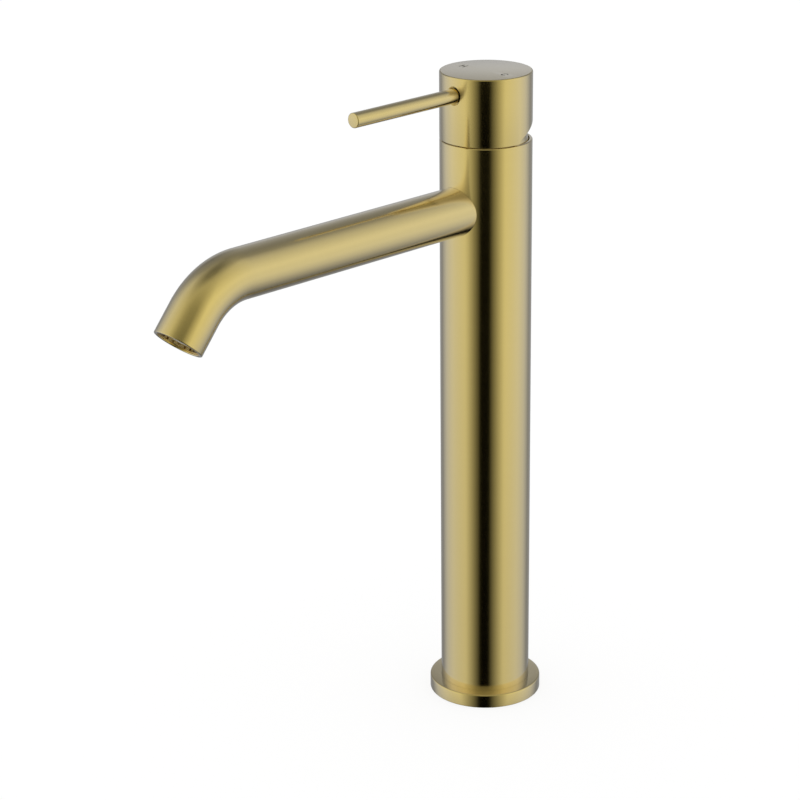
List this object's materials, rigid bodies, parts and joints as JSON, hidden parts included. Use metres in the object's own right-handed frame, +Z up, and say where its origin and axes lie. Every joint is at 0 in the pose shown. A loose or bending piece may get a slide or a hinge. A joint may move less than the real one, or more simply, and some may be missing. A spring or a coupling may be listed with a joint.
{
  "type": "bathroom mixer faucet",
  "caption": "Tall single-lever basin mixer in brushed brass: round column on a thin flange, straight tubular spout bent down at its end, and a pin lever in a drum handle.",
  "frame": {"origin": "centre of the flange's underside on the deck, midway between the two stud holes", "axes": "+Z up along the column, -Y towards the user, along the spout and the lever, -X the hot side"},
  "size_m": [0.0564, 0.2342, 0.325],
  "materials": {
    "brushed_brass": "brushed, satin",
    "raw_brass": "turned, unplated",
    "copper": "drawn copper tube",
    "seal_rubber": "matt",
    "ceramic": "lapped",
    "cartridge_plastic": "moulded",
    "aerator_plastic": "moulded",
    "stainless": "ground",
    "aerator_brass": "turned, satin"
  },
  "bodies": {
    "root": {"aerator_grid": "aerator_plastic", "aerator_housing": "aerator_brass", "aerator_screen": "stainless", "aerator_seal": "seal_rubber", "base_flange": "brushed_brass", "base_seal": "seal_rubber", "body_column": "brushed_brass", "cartridge_base": "cartridge_plastic", "cartridge_housing": "cartridge_plastic", "cartridge_nut": "raw_brass", "cold_riser": "copper", "disc_seals": "seal_rubber", "dome_ring": "brushed_brass", "fixed_disc": "ceramic", "hot_riser": "copper", "inlet_block": "raw_brass", "outlet_ring": "raw_brass", "port_seals": "seal_rubber", "riser_seals": "seal_rubber", "spout_nipple": "raw_brass", "spout_seal": "seal_rubber", "spout_socket": "raw_brass", "spout_tube": "brushed_brass", "valve_housing": "raw_brass"},
    "rotor": {"cartridge_rotor": "cartridge_plastic", "stem_pin": "stainless"},
    "disc": {"moving_disc": "ceramic", "disc_driver": "cartridge_plastic"},
    "handle": {"handle_cap": "brushed_brass", "lever_rod": "brushed_brass", "grub_screw": "stainless", "cartridge_stem": "raw_brass"}
  },
  "joints": [
    {"name": "temperature_turn", "type": "hinge", "parent": "root", "child": "rotor", "pos_m": [0, 0, 0.2865], "axis": [0, 0, 1], "range_deg": [-45, 45]},
    {"name": "flow_lift", "type": "hinge", "parent": "rotor", "child": "handle", "pos_m": [0, 0, 0.2865], "axis": [-1, 0, 0], "range_deg": [0, 25]},
    {"name": "disc_slide", "type": "slide", "parent": "rotor", "child": "disc", "axis": [0, -1, 0], "range_m": [0, 0.00275]}
  ],
  "couplings": [
    {"joint": "disc_slide", "follows": "flow_lift", "m_per_rad": 0.0062957}
  ]
}
